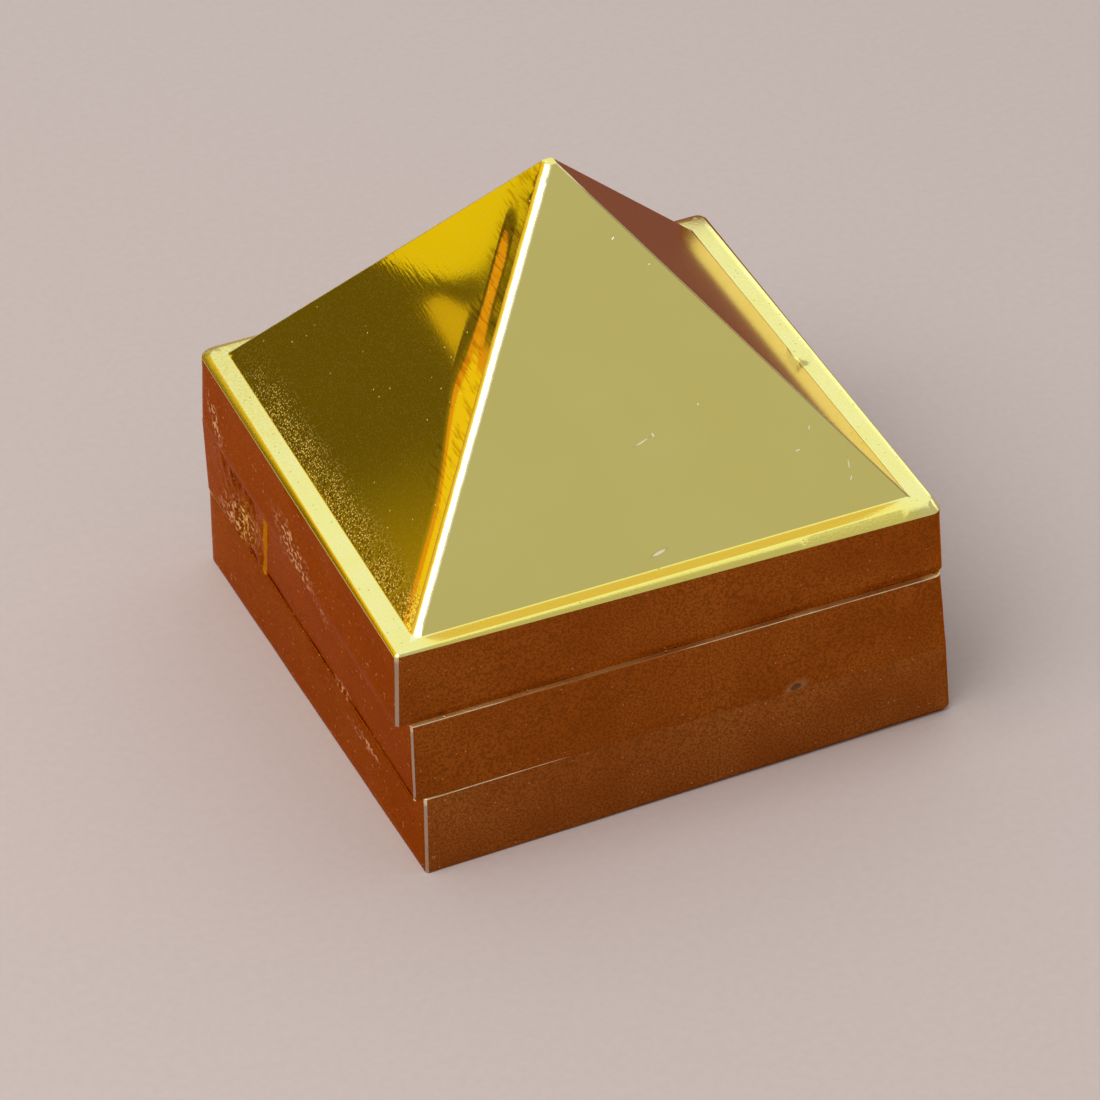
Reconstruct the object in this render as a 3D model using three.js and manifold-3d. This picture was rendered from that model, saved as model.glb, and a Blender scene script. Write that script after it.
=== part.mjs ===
// A vastu pyramid: three square layers of gilt cast brass, stacked and lifted apart by hand.
// The lid is a hollow pyramid on a skirt. Under it sit a middle tray and a base tray, and each
// tray carries nine small brass pyramids in square sockets. A spigot on each tray steps up
// inside the layer above it and keeps the stack in line, with plenty of play.
// Millimetres, +Z up, origin at the centre of the face that the base stands on.
import * as THREE from "three";
import { mergeVertices } from "three/addons/utils/BufferGeometryUtils.js";
import Module from "manifold-3d";

const wasm = await Module();
wasm.setup();

// Driving dimensions of the lid
const lidWidth = 37.9; // across the skirt at the level of the rim
const lidFlare = 0.35; // by which each side of the skirt stands out further at its foot
const lidSkirtHeight = 5.6;
const lidWall = 1.5;
const rimWidth = 1.65; // flat rim between the skirt and the foot of the pyramid
const rimThickness = 1.4;
const faceSlope = 50.7; // degrees, from the rim up to a face
const roofWall = 1.5; // thickness of the pyramid's faces, measured square to them
const apexWidth = 0.8; // across the blunted tip
const apexRound = 0.25; // height of the rounding above that width
const ridgeRadius = 0.45;

// Driving dimensions of the middle tray
const middleStepIn = 0.15; // by which its top edge is narrower than the lid's rim
const middleHeight = 6.0;
const middleWall = 1.5;
const deckDrop = 1.0; // from the shoulder down to the deck
const deckThickness = 1.2;

// Driving dimensions of the base tray
const baseStepOut = 0.1; // by which its top edge is wider than the lid's rim
const baseHeight = 6.1;
const baseFloor = 1.5;

// Spigots, edges and fits
const spigotHeight = 1.5;
const spigotWall = 1.1;
const spigotClearance = 0.7; // on each side, between a spigot and the layer that drops over it
const trayFlare = 0.12; // by which each side of a tray stands out further at its foot
const innerCornerRadius = 0.4;
const shoulderRadius = 0.2;
const skirtFootRadius = 0.2;

// Small pyramids, three by three on each tray
const gridCount = 3;
const smallGap = 0.5; // between two neighbours, and twice that between the outer ones and the spigot
const smallSlope = 51.8; // degrees
const smallPlinth = 0.4; // square foot that drops into its socket
const smallTipWidth = 0.3;
const smallRidgeRadius = 0.12;
const socketDepth = 0.4;
const socketClearance = 0.1; // on each side

// The castings are not quite true. For each corner, front left first and then anticlockwise:
// how far it stands off the square in x and y, its upright radius, and the radius of an edge there.
const rimOffsets = [[-0.1, 0.45], [0, -0.15], [0, 0], [0, 0]];
const rimCornerRadii = [0.35, 0.8, 0.8, 0.8];
const rimEdgeRadii = [0.3, 1.0, 0.7, 0.85];
const skirtFootOffsets = [[-0.1, 0.65], [0.05, 0.45], [0, -0.2], [-0.5, -0.4]];
const skirtCornerRadii = [0.35, 0.8, 1.0, 2.2];
const middleCast = {
  topOffsets: [[0, 0], [-0.25, -0.3], [0, 0], [-0.8, 0]],
  footOffsets: [[0, 0], [0.1, -0.3], [0, 0], [-0.8, 0]],
  cornerRadii: [0.35, 0.6, 0.6, 1.4],
  footRadii: [0.2, 0.2, 0.2, 0.2],
};
const baseCast = {
  topOffsets: [[0, 0], [0, 0], [0, 0], [-0.6, 0]],
  footOffsets: [[0, 0], [0, 0], [0, 0], [-0.6, 0]],
  cornerRadii: [0.3, 0.6, 0.6, 0.9],
  footRadii: [0.2, 0.9, 0.5, 0.3],
};

// How the loose layers lie on the base: shift in x and y, and turn in degrees
const middlePlace = { x: -0.31, y: -0.1, turn: -0.75 };
const lidPlace = { x: -0.59, y: 0.02, turn: -0.75 };

const cutMargin = 1.0; // how far a cutting block runs past the face it opens
const arcSteps = 5;
const noOffsets = [[0, 0], [0, 0], [0, 0], [0, 0]];
const everyCorner = (value) => [value, value, value, value];

const radians = THREE.MathUtils.degToRad;

// Widths that one layer hands to the next
const middleWidth = lidWidth - middleStepIn;
const baseWidth = lidWidth + baseStepOut;
const lidMouthWidth = lidWidth - 2 * lidWall;
const middleMouthWidth = middleWidth - 2 * middleWall;
const middlePocketWidth = lidMouthWidth - 2 * spigotClearance - 2 * spigotWall;
const basePocketWidth = middleMouthWidth - 2 * spigotClearance - 2 * spigotWall;
const smallPitch = Math.min(middlePocketWidth, basePocketWidth) / gridCount;
const smallFoot = smallPitch - smallGap;
const pyramidFoot = lidWidth - 2 * rimWidth;
const slopeRise = Math.tan(radians(faceSlope));

// The four corners of a square at height z, front left first and then anticlockwise. Each corner
// can have an offset, and insets that draw it in sideways and lower it.
function corners(width, z, offsets = noOffsets, insets = everyCorner(0), drops = everyCorner(0)) {
  const signs = [[-1, -1], [1, -1], [1, 1], [-1, 1]];
  return signs.map(([signX, signY], i) => {
    const x = signX * (width / 2 - insets[i]) + offsets[i][0];
    const y = signY * (width / 2 - insets[i]) + offsets[i][1];
    return new THREE.Vector3(x, y, z - drops[i]);
  });
}

// One level of a loft: those corners, each rounded by its own radius.
function roundedLevel(points, radii) {
  const level = [];
  points.forEach((point, i) => {
    const toLast = points[(i + 3) % 4].clone().sub(point).normalize();
    const toNext = points[(i + 1) % 4].clone().sub(point).normalize();
    for (let step = 0; step <= arcSteps; step++) {
      const along = step / arcSteps;
      const rounded = point.clone();
      rounded.addScaledVector(toLast, radii[i] * (1 - along) ** 2);
      rounded.addScaledVector(toNext, radii[i] * along ** 2);
      level.push(rounded.x, rounded.y, rounded.z);
    }
  });
  return level;
}

// A closed solid through its levels, given from the lowest to the highest.
function loft(levels) {
  const count = levels[0].length / 3;
  const index = [];
  for (let r = 0; r + 1 < levels.length; r++) {
    for (let i = 0; i < count; i++) {
      const a = r * count + i;
      const b = r * count + ((i + 1) % count);
      index.push(a, b, b + count, a, b + count, a + count);
    }
  }
  const last = (levels.length - 1) * count;
  for (let i = 1; i + 1 < count; i++) {
    index.push(0, i + 1, i);
    index.push(last, last + i, last + i + 1);
  }
  const geometry = new THREE.BufferGeometry();
  geometry.setAttribute("position", new THREE.Float32BufferAttribute(levels.flat(), 3));
  geometry.setIndex(index);
  return geometry;
}

function toSolid(geometry) {
  const bare = geometry.clone();
  bare.deleteAttribute("normal");
  bare.deleteAttribute("uv");
  const merged = mergeVertices(bare, 1e-5);
  const mesh = new wasm.Mesh({
    numProp: 3,
    vertProperties: new Float32Array(merged.attributes.position.array),
    triVerts: new Uint32Array(merged.index.array),
  });
  return new wasm.Manifold(mesh);
}

function toGeometry(solid) {
  const mesh = solid.getMesh();
  const geometry = new THREE.BufferGeometry();
  geometry.setAttribute("position", new THREE.Float32BufferAttribute(mesh.vertProperties, 3));
  geometry.setIndex(new THREE.BufferAttribute(mesh.triVerts, 1));
  geometry.computeVertexNormals();
  return geometry;
}

// The rounded foot of an outer wall, from the face it stands on up, with its own radius at each
// corner.
function footLevels(width, offsets, edgeRadii, cornerRadii) {
  return [0, 0.25, 0.5, 0.75, 1].map((share) => {
    const angle = (share * Math.PI) / 2;
    const insets = edgeRadii.map((radius) => radius * (1 - Math.sin(angle)));
    const drops = edgeRadii.map((radius) => -radius * (1 - Math.cos(angle)));
    return roundedLevel(corners(width, 0, offsets, insets, drops), cornerRadii);
  });
}

// The rounded top edge of an outer wall, in the same way.
function edgeLevels(width, height, offsets, edgeRadii, cornerRadii) {
  return [0, 0.25, 0.5, 0.75, 1].map((share) => {
    const angle = (share * Math.PI) / 2;
    const insets = edgeRadii.map((radius) => radius * (1 - Math.cos(angle)));
    const drops = edgeRadii.map((radius) => radius * (1 - Math.sin(angle)));
    return roundedLevel(corners(width, height, offsets, insets, drops), cornerRadii);
  });
}

// A block whose width is the same all the way up.
function block(width, radius, z0, z1) {
  return toSolid(loft([z0, z1].map((z) => roundedLevel(corners(width, z), everyCorner(radius)))));
}

function makeLid() {
  const pyramidHeight = ((pyramidFoot - apexWidth) / 2) * slopeRise;
  const tip = lidSkirtHeight + pyramidHeight;
  const outside = [
    ...footLevels(lidWidth + 2 * lidFlare, skirtFootOffsets, everyCorner(skirtFootRadius), skirtCornerRadii),
    ...edgeLevels(lidWidth, lidSkirtHeight, rimOffsets, rimEdgeRadii, rimCornerRadii),
    roundedLevel(corners(pyramidFoot, lidSkirtHeight), everyCorner(ridgeRadius)),
    roundedLevel(corners(apexWidth, tip), everyCorner(ridgeRadius / 2)),
    roundedLevel(corners(apexWidth / 2, tip + apexRound), everyCorner(ridgeRadius / 4)),
  ];
  const ceiling = lidSkirtHeight - rimThickness;
  const roofInset = roofWall / Math.sin(radians(faceSlope));
  const hollowFoot = pyramidFoot - 2 * roofInset + (2 * rimThickness) / slopeRise;
  const hollowHeight = ((hollowFoot - apexWidth) / 2) * slopeRise;
  const hollow = [
    roundedLevel(corners(lidMouthWidth, -cutMargin), everyCorner(innerCornerRadius)),
    roundedLevel(corners(lidMouthWidth, ceiling), everyCorner(innerCornerRadius)),
    roundedLevel(corners(hollowFoot, ceiling), everyCorner(innerCornerRadius)),
    roundedLevel(corners(apexWidth, ceiling + hollowHeight), everyCorner(innerCornerRadius / 2)),
  ];
  return toSolid(loft(outside)).subtract(toSolid(loft(hollow)));
}

// The outer block of a tray.
function trayBand(topWidth, height, cast) {
  const footWidth = topWidth + 2 * trayFlare;
  const topRadii = everyCorner(shoulderRadius);
  const levels = [
    ...footLevels(footWidth, cast.footOffsets, cast.footRadii, cast.cornerRadii),
    ...edgeLevels(topWidth, height, cast.topOffsets, topRadii, cast.cornerRadii),
  ];
  return toSolid(loft(levels));
}

// The spigot that stands on a tray's shoulder, as a solid block that reaches into the tray.
function spigotBlock(mouthWidth, height) {
  const width = mouthWidth - 2 * spigotClearance;
  return block(width, innerCornerRadius, height / 2, height + spigotHeight);
}

// The places of the small pyramids on a tray.
function gridPlaces() {
  const places = [];
  const middle = (gridCount - 1) / 2;
  for (let row = 0; row < gridCount; row++) {
    for (let column = 0; column < gridCount; column++) {
      places.push([(column - middle) * smallPitch, (middle - row) * smallPitch]);
    }
  }
  return places;
}

function sockets(floorZ) {
  const width = smallFoot + 2 * socketClearance;
  const cutter = block(width, smallRidgeRadius, floorZ - socketDepth, floorZ + cutMargin);
  const cutters = gridPlaces().map(([x, y]) => cutter.translate([x, y, 0]));
  return cutters.reduce((all, next) => all.add(next));
}

function makeMiddleTray() {
  const deckTop = middleHeight - deckDrop;
  const band = trayBand(middleWidth, middleHeight, middleCast);
  const body = band.add(spigotBlock(lidMouthWidth, middleHeight));
  const pocketTop = middleHeight + spigotHeight + cutMargin;
  const pocket = block(middlePocketWidth, innerCornerRadius, deckTop, pocketTop);
  const hollow = block(middleMouthWidth, innerCornerRadius, -cutMargin, deckTop - deckThickness);
  return body.subtract(pocket).subtract(hollow).subtract(sockets(deckTop));
}

function makeBaseTray() {
  const band = trayBand(baseWidth, baseHeight, baseCast);
  const body = band.add(spigotBlock(middleMouthWidth, baseHeight));
  const pocketTop = baseHeight + spigotHeight + cutMargin;
  const pocket = block(basePocketWidth, innerCornerRadius, baseFloor, pocketTop);
  return body.subtract(pocket).subtract(sockets(baseFloor));
}

function makeSmallPyramid() {
  const rise = ((smallFoot - smallTipWidth) / 2) * Math.tan(radians(smallSlope));
  const radii = everyCorner(smallRidgeRadius);
  return loft([
    roundedLevel(corners(smallFoot, 0), radii),
    roundedLevel(corners(smallFoot, smallPlinth), radii),
    roundedLevel(corners(smallTipWidth, smallPlinth + rise), radii),
  ]);
}

const gilt = new THREE.MeshStandardMaterial({ color: 0xe8c34a, roughness: 0.22, metalness: 1 });
const castGilt = new THREE.MeshStandardMaterial({ color: 0xd9a93c, roughness: 0.34, metalness: 1 });
const smallGilt = new THREE.MeshStandardMaterial({ color: 0xe6bf52, roughness: 0.28, metalness: 1 });

function piece(name, geometry, material) {
  const mesh = new THREE.Mesh(geometry, material);
  mesh.name = name;
  return mesh;
}

// Nine small pyramids standing in the sockets of a tray whose floor is at that height.
function smallPyramids(prefix, floorZ) {
  const group = new THREE.Group();
  gridPlaces().forEach(([x, y], i) => {
    const mesh = piece(`${prefix}_pyramid_${i + 1}`, makeSmallPyramid(), smallGilt);
    mesh.position.set(x, y, floorZ - socketDepth);
    group.add(mesh);
  });
  return group;
}

// A layer at its height in the stack, laid down with its own small shift and turn.
function layer(z, place, ...pieces) {
  const group = new THREE.Group();
  group.add(...pieces);
  group.position.set(place.x, place.y, z);
  group.rotation.z = radians(place.turn);
  return group;
}

const vastuPyramid = new THREE.Group();
vastuPyramid.add(
  layer(
    0,
    { x: 0, y: 0, turn: 0 },
    piece("base_tray", toGeometry(makeBaseTray()), castGilt),
    smallPyramids("base", baseFloor),
  ),
  layer(
    baseHeight,
    middlePlace,
    piece("middle_tray", toGeometry(makeMiddleTray()), castGilt),
    smallPyramids("middle", middleHeight - deckDrop),
  ),
  layer(baseHeight + middleHeight, lidPlace, piece("pyramid_lid", toGeometry(makeLid()), gilt)),
);

export default vastuPyramid;
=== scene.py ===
# %% [markdown]
# # A gilt brass vastu pyramid
# The real object is a stack of three castings of brass under a thin layer of gold: a hollow
# pyramid lid and two trays, each tray with nine small pyramids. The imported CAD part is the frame
# that everything here fits on. Each casting is modelled again with the worn edges, pits and
# dents of a real one, and then gets its finish.

# %% Imports and the frame
import math

import bmesh
import bpy
from mathutils import Matrix, Vector, noise


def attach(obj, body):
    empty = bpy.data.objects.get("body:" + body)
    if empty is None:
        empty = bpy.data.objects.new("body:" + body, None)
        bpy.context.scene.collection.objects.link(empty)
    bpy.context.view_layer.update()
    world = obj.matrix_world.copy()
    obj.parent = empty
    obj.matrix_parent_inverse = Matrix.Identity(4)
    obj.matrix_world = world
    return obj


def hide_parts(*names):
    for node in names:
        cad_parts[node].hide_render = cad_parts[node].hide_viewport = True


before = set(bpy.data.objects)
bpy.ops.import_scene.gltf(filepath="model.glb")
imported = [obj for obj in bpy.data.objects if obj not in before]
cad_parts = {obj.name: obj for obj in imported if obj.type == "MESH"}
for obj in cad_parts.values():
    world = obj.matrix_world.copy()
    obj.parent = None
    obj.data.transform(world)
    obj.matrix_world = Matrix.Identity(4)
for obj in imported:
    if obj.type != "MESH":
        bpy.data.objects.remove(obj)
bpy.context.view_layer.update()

# %% [markdown]
# The sizes repeat those of the CAD part, in millimetres, and a mesh becomes metres only when it is
# finished. A flare is how much wider a foot is on each side, for the slope that lets a casting
# leave its mould. A spigot is the low square collar that the next layer's mouth drops over. The
# deck is the ceiling of the middle tray's mouth.

# %% Sizes
LID_WIDTH = 37.9
LID_FLARE = 0.35
LID_WALL = 1.5
SKIRT_HEIGHT = 5.6
RIM_WIDTH = 1.65
RIM_THICKNESS = 1.4
ROOF_WALL = 1.5
ROOF_RISE = math.tan(math.radians(50.7))
APEX_WIDTH = 0.8
MIDDLE_WIDTH = 37.75
MIDDLE_HEIGHT = 6.0
MIDDLE_WALL = 1.5
MIDDLE_DECK = 3.8
BASE_WIDTH = 38.0
BASE_HEIGHT = 6.1
TRAY_FLARE = 0.12
POCKET_FLOORS = {"base": 1.5, "middle": 5.0}
SPIGOT_HEIGHT = 1.5
SPIGOT_WALL = 1.1
SPIGOT_CLEARANCE = 0.7
SOCKET_DEPTH = 0.4
SOCKET_PLAY = 0.1
SMALL_GAP = 0.5
SMALL_TIP = 0.15
SMALL_RISE = math.tan(math.radians(51.8))

LID_MOUTH = LID_WIDTH - 2 * LID_WALL
MIDDLE_MOUTH = MIDDLE_WIDTH - 2 * MIDDLE_WALL
MIDDLE_SPIGOT = LID_MOUTH - 2 * SPIGOT_CLEARANCE
BASE_SPIGOT = MIDDLE_MOUTH - 2 * SPIGOT_CLEARANCE
SMALL_PITCH = (BASE_SPIGOT - 2 * SPIGOT_WALL) / 3
SMALL_FOOT = SMALL_PITCH - SMALL_GAP
print("Small pyramids are", round(SMALL_FOOT, 2), "mm wide, every", round(SMALL_PITCH, 2), "mm")

# %% [markdown]
# A place says how a layer lies in the stack: its shift and height, and its turn. The lid and the
# middle tray lie a little askew on the real object, so they have places of their own.

# %% Places
PLACES = {
    "base": (Vector((0, 0, 0)), 0.0),
    "middle": (Vector((-0.31, -0.10, BASE_HEIGHT)), math.radians(-0.75)),
    "lid": (Vector((-0.59, 0.02, BASE_HEIGHT + MIDDLE_HEIGHT)), math.radians(-0.75)),
}
print("The lid lies", round(PLACES["lid"][0].xy.length, 2), "mm off the middle of the base")

# %% [markdown]
# Every casting starts as a cube. Its corners are numbered from the front left one, anticlockwise,
# and nothing on the real object is quite the same at all four of them, because a hand finished
# the edges with a file. So a size is often given as four values, one for each corner, and
# changes evenly along the sides in between.


# %% Corners
SIGNS = ((-1, -1), (1, -1), (1, 1), (-1, 1))
X, Y, Z = range(3)


def quadrant(point):
    if point.y < 0:
        return 0 if point.x < 0 else 1
    return 2 if point.x > 0 else 3


def vectors(pairs):
    return [Vector((pair[0], pair[1], 0)) for pair in pairs]


def spread(point, half, values):
    """The value at a point, from the values at the four corners of a square."""
    u = (point.x / half + 1) / 2
    v = (point.y / half + 1) / 2
    shares = ((1 - u) * (1 - v), u * (1 - v), u * v, (1 - u) * v)
    parts = [value * share for value, share in zip(values, shares)]
    return parts[0] + parts[1] + parts[2] + parts[3]


# %% [markdown]
# A bevel turns a sharp edge into a narrow rounded band, which is what catches the light on
# polished metal. Each of the four upright edges of the cube is rounded with its own radius. After
# that the foot is spread by the flare, and the corners get their small errors.


# %% Blocks
def round_edges(bm, edges, radius, segments=3, material=-1):
    bmesh.ops.bevel(
        bm,
        geom=edges,
        offset=radius,
        segments=segments,
        profile=0.5,
        affect="EDGES",
        clamp_overlap=True,
        material=material,
    )


def start_block(half, height, flare, radii, foot_errors, top_errors):
    bm = bmesh.new()
    bmesh.ops.create_cube(bm, size=1)
    bmesh.ops.scale(bm, vec=(2 * half, 2 * half, height), verts=bm.verts)
    bmesh.ops.translate(bm, vec=(0, 0, height / 2), verts=bm.verts)
    for number, radius in enumerate(radii):
        own = [edge for edge in bm.edges if all(quadrant(vert.co) == number for vert in edge.verts)]
        round_edges(bm, own, radius, 5)
    foot_errors, top_errors = vectors(foot_errors), vectors(top_errors)
    for vert in bm.verts:
        on_foot = vert.co.z < height / 2
        error = spread(vert.co, half, foot_errors if on_foot else top_errors)
        widen = (half + flare) / half if on_foot else 1
        vert.co = (vert.co.x * widen + error.x, vert.co.y * widen + error.y, vert.co.z)
    bm.normal_update()
    return bm


# %% [markdown]
# From an end face the shape grows in two moves, as in the editor: an inset draws a smaller outline
# on it, and an extrusion carries that outline up or down. Where a rounded outline becomes a
# sharp square, the vertices of each rounded corner meet in one point and are merged. Heights that
# are NEAR each other count as one, and so do vertices closer than MERGED.


# %% Insets and extrusions
NEAR = 0.01
MERGED = 0.001


def end_face(bm, up):
    """The level face in the middle of the end that looks up (1) or down (-1)."""
    bm.normal_update()
    level = [face for face in bm.faces if face.normal.z * up > 0.99]
    height = max(face.calc_center_median().z * up for face in level)
    level = [face for face in level if face.calc_center_median().z * up > height - NEAR]
    return min(level, key=lambda face: face.calc_center_median().xy.length)


def set_square(face, half, z=None, centre=(0.0, 0.0)):
    for vert in face.verts:
        vert.co.x = centre[0] + math.copysign(half, vert.co.x - centre[0])
        vert.co.y = centre[1] + math.copysign(half, vert.co.y - centre[1])
        if z is not None:
            vert.co.z = z


def inset(bm, face, thickness=0.05):
    bmesh.ops.inset_region(bm, faces=[face], thickness=thickness, use_even_offset=True)


def step_in(bm, face, half):
    """Draw a sharp square on an end face and return its face."""
    up = 1 if face.normal.z > 0 else -1
    inset(bm, face)
    set_square(face, half)
    bmesh.ops.remove_doubles(bm, verts=face.verts, dist=MERGED)
    return end_face(bm, up)


def carry(bm, face, half, z, centre=(0.0, 0.0)):
    moved = bmesh.ops.extrude_discrete_faces(bm, faces=[face])["faces"][0]
    set_square(moved, half, z, centre)
    return moved


def chamfer_end(bm, face, half, widths, drops):
    """Slope the edge of an end face, with a width in x and in y and a drop for each corner."""
    up = 1 if face.normal.z > 0 else -1
    even = 0.2
    inset(bm, face, even)
    inner = set(face.verts)
    outer = {edge.other_vert(vert) for vert in inner for edge in vert.link_edges} - inner
    moves = [(-sx * (w[0] - even), -sy * (w[1] - even)) for (sx, sy), w in zip(SIGNS, widths)]
    moves = vectors(moves)
    for vert in face.verts:
        vert.co += spread(vert.co, half, moves)
    for vert in outer:
        vert.co.z -= up * spread(vert.co, half, drops)
    return face


# %% [markdown]
# Edges are found again by where they run, because every bevel renumbers the mesh. Reach is how
# far a point is from the axis, measured as for a square.


# %% Finding edges
def reach(point):
    return max(abs(point.x), abs(point.y))


def near(z):
    """The lowest and the highest place that still count as this height."""
    return z - NEAR, z + NEAR


def edges_between(bm, low, high, beyond, within=100.0):
    found = []
    for edge in bm.edges:
        ends = [vert.co for vert in edge.verts]
        level = all(low <= end.z <= high for end in ends)
        if level and all(beyond < reach(end) < within for end in ends):
            found.append(edge)
    return found


def outline_edges(bm, low, high, beyond):
    """Edges that run round the casting, without the short ones that lead up or in."""
    found = []
    for edge in edges_between(bm, low, high, beyond):
        tilt = [face.normal.z for face in edge.link_faces]
        if abs(tilt[0] - tilt[1]) > 0.1:
            found.append(edge)
    return found


# %% [markdown]
# The large faces need many small cells before they can carry a dent or a slow wave. Planes cut
# the whole mesh, and each cut leaves the shape as it was. None runs along a wall, where it would
# cut slivers, and small dents get closer cuts of their own.


# %% Cells
ON_PLANE = 1e-4
CELL = 0.7
FINE_CELL = 0.15
CELLS_TO = 18.2


def direction(axis):
    along = Vector((0, 0, 0))
    along[axis] = 1
    return along


def evenly(low, high, step):
    count = max(round((high - low) / step), 1)
    return [low + (high - low) * i / count for i in range(count + 1)]


def cut_at(bm, axis, places):
    along = direction(axis)
    for place in places:
        everything = bm.verts[:] + bm.edges[:] + bm.faces[:]
        bmesh.ops.bisect_plane(
            bm, geom=everything, dist=ON_PLANE, plane_co=along * place, plane_no=along
        )
    bm.normal_update()


def cut_squares(bm, half, step):
    for axis in (X, Y):
        cut_at(bm, axis, evenly(-half, half, step))


# %% [markdown]
# A dent is a smooth hollow whose depth fades with the distance from its middle. A slow wave is
# noise pushed a few hundredths of a millimetre inwards, which bends the reflections the way
# hand polishing does. Both only ever go inwards, so the casting stays inside its CAD box. On the
# walls they go straight sideways, so that each layer still stands flat on the next.


# %% Dents and waves
def fade(distance, radius):
    share = min(distance / radius, 1.0)
    return (1 - share * share) ** 2


def slow_wave(point, wavelength, seed):
    return 0.5 + 0.5 * noise.noise(point / wavelength + Vector((seed, 0, 0)))


def push_inwards(bm, depth_at, sideways_below=0.0):
    bm.normal_update()
    moves = [(vert, vert.normal * depth_at(vert.co, vert.normal)) for vert in bm.verts]
    for vert, move in moves:
        if vert.co.z < sideways_below:
            move.z = 0
        vert.co -= move


# %% [markdown]
# A finished mesh is turned and moved to its place in the stack, scaled to metres, and becomes an
# object at the origin. Smooth shading with weighted normals keeps the flat faces flat right up to
# their rounded edges. The square inner corners of the trays are not rounded, so their edges are
# marked as sharp, or the shading would run round them.

# %% Finished pieces
SHARP = math.radians(50)
METRES = (0.001, 0.001, 0.001)


def finish_piece(name, bm, body, materials, shift=(0, 0, 0)):
    place, turn = PLACES[body]
    bmesh.ops.translate(bm, vec=shift, verts=bm.verts)
    bmesh.ops.rotate(bm, cent=(0, 0, 0), matrix=Matrix.Rotation(turn, 3, "Z"), verts=bm.verts)
    bmesh.ops.translate(bm, vec=place, verts=bm.verts)
    bmesh.ops.scale(bm, vec=METRES, verts=bm.verts)
    bmesh.ops.recalc_face_normals(bm, faces=bm.faces)
    for face in bm.faces:
        face.smooth = True
    for edge in bm.edges:
        edge.smooth = edge.calc_face_angle(0) < SHARP
    mesh = bpy.data.meshes.new(name)
    bm.to_mesh(mesh)
    bm.free()
    for material in materials:
        mesh.materials.append(material)
    piece = bpy.data.objects.new(name, mesh)
    bpy.context.scene.collection.objects.link(piece)
    even = piece.modifiers.new("even_shine", "WEIGHTED_NORMAL")
    even.weight = 80
    even.keep_sharp = True
    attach(piece, body)
    return piece


# %% [markdown]
# ## Shader values
# Blender's materials are graphs of nodes, which get long when every sum is a node of its own. A
# small class wraps a node's output, so that ordinary arithmetic adds the Math nodes. A second one
# makes every other node: its settings are set first, because they can change its sockets.


# %% Shader values
class Value:
    def __init__(self, shader, socket):
        self.shader = shader
        self.socket = socket

    def math(self, operation, *others):
        inputs = dict(enumerate((self, *others)))
        return self.shader.node("ShaderNodeMath", {"operation": operation}, inputs)

    def __add__(self, other):
        return self.math("ADD", other)

    def __sub__(self, other):
        return self.math("SUBTRACT", other)

    def __rsub__(self, other):
        return self.math("MULTIPLY", -1.0).math("ADD", other)

    def __mul__(self, other):
        return self.math("MULTIPLY", other)

    __radd__ = __add__
    __rmul__ = __mul__

    def between(self, low, high):
        """0 at low, 1 at high and a smooth step between them, whichever is the larger."""
        settings = {"interpolation_type": "SMOOTHSTEP"}
        ends = {"Value": self, "From Min": min(low, high), "From Max": max(low, high)}
        step = self.shader.node("ShaderNodeMapRange", settings, ends)
        return step if low < high else 1 - step


class Shader:
    def __init__(self, name):
        self.material = bpy.data.materials.new(name)
        self.material.use_nodes = True
        self.tree = self.material.node_tree
        self.surface = self.tree.nodes["Principled BSDF"]

    def feed(self, socket, value):
        if isinstance(value, Value):
            self.tree.links.new(value.socket, socket)
        else:
            socket.default_value = value

    def make(self, kind, settings=None, inputs=None):
        made = self.tree.nodes.new(kind)
        for key, value in (settings or {}).items():
            setattr(made, key, value)
        for key, value in (inputs or {}).items():
            self.feed(made.inputs[key], value)
        return made

    def node(self, kind, settings=None, inputs=None, output=0):
        """Add a node and return one of its outputs."""
        return Value(self, self.make(kind, settings, inputs).outputs[output])

    def outputs(self, kind, inputs):
        """Add a node and return all its outputs."""
        return [Value(self, socket) for socket in self.make(kind, None, inputs).outputs]

    def blend(self, factor, below, above):
        """A mix of two colours, each a value or three numbers."""
        below, above = (end if isinstance(end, Value) else (*end, 1) for end in (below, above))
        inputs = {0: factor, 6: below, 7: above}
        return self.node("ShaderNodeMix", {"data_type": "RGBA"}, inputs, output=2)

    def set(self, **inputs):
        for key, value in inputs.items():
            self.feed(self.surface.inputs[key.replace("_", " ")], value)


def strongest(masks):
    result = masks[0]
    for mask in masks[1:]:
        result = result.math("MAXIMUM", mask)
    return result


# %% [markdown]
# Each pattern is placed in millimetres in its own layer's frame. A Mapping node undoes the
# layer's place in the stack, so a scratch keeps its spot on the casting.


# %% Patterns
def layer_frame(shader, body):
    place, turn = PLACES[body]
    back = Matrix.Rotation(-turn, 3, "Z")
    inputs = {
        "Vector": shader.node("ShaderNodeTexCoord", output="Object"),
        "Scale": (1000, 1000, 1000),
        "Rotation": (0, 0, -turn),
        "Location": -(back @ place),
    }
    return shader.node("ShaderNodeMapping", {"vector_type": "POINT"}, inputs)


def split(shader, vector):
    return shader.outputs("ShaderNodeSeparateXYZ", {0: vector})


def cloud(shader, vector, wavelength, detail=2.0, stretch=None):
    if stretch:
        inputs = {"Vector": vector, "Scale": tuple(1 / value for value in stretch)}
        vector = shader.node("ShaderNodeMapping", None, inputs)
    inputs = {"Vector": vector, "Scale": 1 / wavelength, "Detail": detail}
    return shader.node("ShaderNodeTexNoise", None, inputs)


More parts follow.
